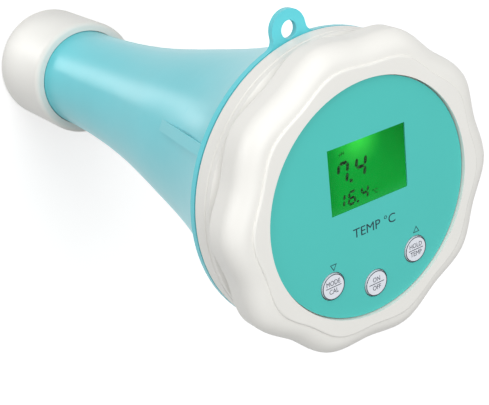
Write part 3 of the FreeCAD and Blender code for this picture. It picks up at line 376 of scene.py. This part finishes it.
FINISHES = {
    "aqua_plastic": moulded("aqua_gloss", AQUA, 0.28),
    "white_plastic": moulded("white_satin", RING_WHITE, 0.4),
    "teal_panel": film_finish("teal_film", TEAL, 60.0),
    "key_white": film_finish("key_film", KEY_WHITE, 120.0),
    "clear_window": window_finish(),
    "lcd_face": lcd_finish(),
    "light_guide": guide_finish(),
    "dark_plastic": textured("dark_texture", display_colour(58, 60, 62), 0.5),
    "natural_plastic": textured("natural_nylon", display_colour(228, 224, 208), 0.42),
    "seal_rubber": rubber("seal_black", display_colour(38, 38, 40)),
    "circuit_board": board_finish(),
    "chip_black": textured("chip_epoxy", display_colour(34, 35, 37), 0.6),
    "switch_body": textured("switch_black", display_colour(50, 50, 52), 0.5),
    "shield_metal": metal("tinned_shield", display_colour(205, 205, 200), 0.32),
    "plated_steel": metal("plated_steel", display_colour(196, 194, 188), 0.25),
    "stainless": metal("stainless_steel", display_colour(198, 199, 202), 0.24, (1.0, 1.0, 0.05)),
    "electrode_glass": glass_finish(),
    "ceramic_junction": ceramic_finish(),
    "cable_jacket": rubber("cable_jacket", display_colour(46, 46, 48)),
    "cell_sleeve": sleeve_finish(),
}


def paint_frame():
    """Give every CAD node the finish of its material slot."""
    for row in frame["record"]["subparts"]:
        node = nodes[row["node"]]
        for slot in node.material_slots:
            slot.material = FINISHES[row["material_slot"]].material


# --- mesh pieces ----------------------------------------------------------------------------------


def piece(name, mesh, material, body):
    """A mesh made in the part's frame, painted, that rides on a body."""
    mesh.materials.clear()
    mesh.materials.append(material)
    made = bpy.data.objects.new(name, mesh)
    bpy.context.scene.collection.objects.link(made)
    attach(made, body)
    return made


def slab(shapes, low, thickness, name):
    """Flat shapes, each a list of (x, y) corners run anticlockwise, given a thickness above low."""
    bm = bmesh.new()
    for corners in shapes:
        lower = [bm.verts.new((x, y, low)) for x, y in corners]
        upper = [bm.verts.new((x, y, low + thickness)) for x, y in corners]
        bm.faces.new(upper)
        bm.faces.new(lower[::-1])
        for a in range(len(corners)):
            b = (a + 1) % len(corners)
            bm.faces.new((lower[a], lower[b], upper[b], upper[a]))
    mesh = bpy.data.meshes.new(name)
    bm.to_mesh(mesh)
    bm.free()
    return mesh


def make_floor():
    """A wide pale floor under the tail cap."""
    square = bar(0.0, 0.0, 2 * FLOOR_HALF, 2 * FLOOR_HALF)
    mesh = slab([square], -FLOOR_THICKNESS, FLOOR_THICKNESS, "floor")
    mesh.materials.append(floor_finish())
    floor = bpy.data.objects.new("floor", mesh)
    bpy.context.scene.collection.objects.link(floor)
    floor.visible_diffuse = False


# --- prints on the panel, the keys and the display ------------------------------------------------

PRINT = 0.03 * MM  # the thickness of every print

KEY_TOP_RADIUS = 4.6 * MM
OUTLINE_INSET = 0.06 * MM
OUTLINE_WIDTH = 0.32 * MM
RING_STEPS = 72
DIVIDER_LENGTH = 6.4 * MM
DIVIDER_WIDTH = 0.24 * MM
SMALL_TEXT = 1.7 * MM
WORD_STEP = 1.5 * MM
WORD_SQUEEZE = 0.85

LEGEND_TEXT = 3.4 * MM
LEGEND_SQUEEZE = 1.05
LEGEND_RIGHT = 1.0 * MM
LEGEND_BELOW = 8.8 * MM
ARROW_RIGHT = 0.9 * MM
ARROW_ABOVE = 6.8 * MM
ARROW_SIZE = 1.6 * MM
ARROW_HOLE = 0.7


def centre_of(node):
    """The middle of a node's box."""
    low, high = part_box(node)
    return (low + high) / 2


def arc_points(centre, radius, steps):
    """Points round a circle, anticlockwise."""
    turns = (math.tau * step / steps for step in range(steps))
    return [(centre.x + radius * math.cos(turn), centre.y + radius * math.sin(turn)) for turn in turns]


def band_shapes(outer, inner):
    """The four-sided cells between two outlines of equal length."""
    count = len(outer)
    return [(outer[a], outer[(a + 1) % count], inner[(a + 1) % count], inner[a]) for a in range(count)]


def bar(x, y, length, width):
    """A level bar centred on x, y."""
    left, right, foot, top = x - length / 2, x + length / 2, y - width / 2, y + width / 2
    return [(left, foot), (right, foot), (right, top), (left, top)]


def lettering(name, text, height, centre, low, squeeze=1.0):
    """A mesh of flat letters, centred on a point and given the print's thickness."""
    curve = bpy.data.curves.new(name, "FONT")
    curve.body = text
    curve.align_x = "CENTER"
    curve.resolution_u = 4
    source = bpy.data.objects.new(name, curve)
    mesh = bpy.data.meshes.new_from_object(source)
    bpy.data.objects.remove(source)
    bpy.data.curves.remove(curve)
    corners = [vertex.co for vertex in mesh.vertices]
    lowest = Vector((min(c.x for c in corners), min(c.y for c in corners), 0.0))
    highest = Vector((max(c.x for c in corners), max(c.y for c in corners), 0.0))
    scale = height / (highest.y - lowest.y)
    middle = (lowest + highest) / 2
    size = Matrix.Diagonal((scale * squeeze, scale, 1.0, 1.0))
    place = Matrix.Translation((centre[0], centre[1], low))
    mesh.transform(place @ size @ Matrix.Translation(-middle))
    bm = bmesh.new()
    bm.from_mesh(mesh)
    bmesh.ops.remove_doubles(bm, verts=bm.verts, dist=height / 1000)
    raised = bmesh.ops.extrude_face_region(bm, geom=list(bm.faces))["geom"]
    bmesh.ops.translate(bm, verts=[v for v in raised if isinstance(v, bmesh.types.BMVert)], vec=(0, 0, PRINT))
    bmesh.ops.recalc_face_normals(bm, faces=bm.faces)
    bm.to_mesh(mesh)
    bm.free()
    return mesh


SEGMENTS = {"1": "bc", "4": "fgbc", "6": "afgcde", "7": "fabc"}
SEGMENT_SLANT = 0.14
# These four are shares of a segment's stroke.
SEGMENT_GAP = 0.18
DIGIT_GAP = 1.3
POINT_BACK = 0.2
POINT_STEP = 0.9


def segment_shapes(digit, x, y, wide, tall, stroke):
    """The lit segments of one slanted digit whose lower left corner is x, y."""
    half = stroke / 2
    gap = stroke * SEGMENT_GAP
    left, right, foot, middle, top = half, wide - half, half, tall / 2, tall - half
    level = {"a": top, "g": middle, "d": foot}
    upright = {"b": (right, middle, top), "c": (right, foot, middle), "e": (left, foot, middle)}
    upright["f"] = (left, middle, top)
    shapes = []
    for name in SEGMENTS[digit]:
        if name in level:
            v, a, b = level[name], left + gap, right - gap
            points = [(a, v), (a + half, v - half), (b - half, v - half), (b, v)]
            points += [(b - half, v + half), (a + half, v + half)]
        else:
            u, a, b = upright[name][0], upright[name][1] + gap, upright[name][2] - gap
            points = [(u, a), (u + half, a + half), (u + half, b - half), (u, b)]
            points += [(u - half, b - half), (u - half, a + half)]
        shapes.append([(x + u + SEGMENT_SLANT * v, y + v) for u, v in points])
    return shapes


def number_shapes(text, x, y, wide, tall, stroke):
    """A number's segments and its decimal point."""
    shapes = []
    for mark in text:
        if mark == ".":
            shapes.append(bar(x - stroke * POINT_BACK, y + stroke / 2, stroke, stroke))
            x += stroke * POINT_STEP
        else:
            shapes += segment_shapes(mark, x, y, wide, tall, stroke)
            x += wide + stroke * DIGIT_GAP
    return shapes


INK_LIFT = 0.005 * MM
# Each reading, its place from the window's lower left corner, its digits' width and height, and its stroke.
READINGS = (
    ("7.4", 3.0 * MM, 9.0 * MM, 4.8 * MM, 8.0 * MM, 1.15 * MM),
    ("16.4", 2.4 * MM, 1.2 * MM, 3.4 * MM, 5.0 * MM, 0.85 * MM),
)
# Each label's piece, its text and its place in the part's frame.
LABELS = (
    ("display_acidity_label", "pH", -10.0 * MM, 18.8 * MM),
    ("display_degree_label", "\u00b0C", 2.6 * MM, 2.0 * MM),
)
LABEL_TEXT = 1.6 * MM


def make_display_marks(ink):
    """Dark segments and small labels on the lit glass, under the clear window."""
    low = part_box("lcd_window")[0]
    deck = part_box("lcd_glass")[1].z + INK_LIFT
    shapes = []
    for text, x, y, wide, tall, stroke in READINGS:
        shapes += number_shapes(text, low.x + x, low.y + y, wide, tall, stroke)
    piece("display_numbers", slab(shapes, deck, PRINT, "display_numbers"), ink, "display_head")
    for name, text, x, y in LABELS:
        piece(name, lettering(name, text, LABEL_TEXT, (x, y), deck), ink, "display_head")


def make_key_print(side, upper, lower, ink):
    """A key's dark outline, its dividing line and a word above and below the line."""
    cap = f"{side}_key_cap"
    centre = centre_of(cap)
    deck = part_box(cap)[1].z
    radius = KEY_TOP_RADIUS - OUTLINE_INSET
    outer = arc_points(centre, radius, RING_STEPS)
    inner = arc_points(centre, radius - OUTLINE_WIDTH, RING_STEPS)
    shapes = band_shapes(outer, inner)
    shapes.append(bar(centre.x, centre.y, DIVIDER_LENGTH, DIVIDER_WIDTH))
    body = f"{side}_key"
    name = f"{side}_key_outline"
    piece(name, slab(shapes, deck, PRINT, name), ink, body)
    for word, step in ((upper, 1), (lower, -1)):
        name = f"{side}_key_{word.lower()}"
        place = (centre.x, centre.y + step * WORD_STEP)
        mesh = lettering(name, word, SMALL_TEXT, place, deck, WORD_SQUEEZE)
        piece(name, mesh, ink, body)


def triangle_outline(x, y, size, up):
    """A thin triangle outline pointing up or down."""
    corners = [math.tau * (0.25 + n / 3) + (0 if up else math.pi) for n in range(3)]
    outer = [(x + size * math.cos(a), y + size * math.sin(a)) for a in corners]
    inner = [(x + (u - x) * ARROW_HOLE, y + (v - y) * ARROW_HOLE) for u, v in outer]
    return band_shapes(outer, inner)


def make_panel_print(ink):
    """The legend under the window and the two arrow marks above the outer keys."""
    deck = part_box("panel_overlay")[1].z
    window = centre_of("lcd_window")
    legend = (window.x + LEGEND_RIGHT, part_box("lcd_window")[0].y - LEGEND_BELOW)
    mesh = lettering("panel_legend", "TEMP \u00b0C", LEGEND_TEXT, legend, deck, LEGEND_SQUEEZE)
    piece("panel_legend", mesh, ink, "display_head")
    for side, up in (("left", False), ("right", True)):
        key = centre_of(f"{side}_key_cap")
        shapes = triangle_outline(key.x + ARROW_RIGHT, key.y + ARROW_ABOVE, ARROW_SIZE, up)
        name = f"{side}_arrow"
        piece(name, slab(shapes, deck, PRINT, name), ink, "display_head")


def make_prints():
    """All the ink: on the panel, on the keys and on the display."""
    panel_ink = ink_finish("panel_ink", display_colour(38, 62, 74))
    key_ink = ink_finish("key_ink", display_colour(58, 62, 76))
    make_panel_print(panel_ink)
    words = {"left": ("MODE", "CAL"), "centre": ("ON", "OFF"), "right": ("HOLD", "TEMP")}
    for side, (upper, lower) in words.items():
        make_key_print(side, upper, lower, key_ink)
    make_display_marks(ink_finish("display_ink", display_colour(4, 66, 18)))


make_camera()
make_studio()
make_floor()
paint_frame()
make_prints()
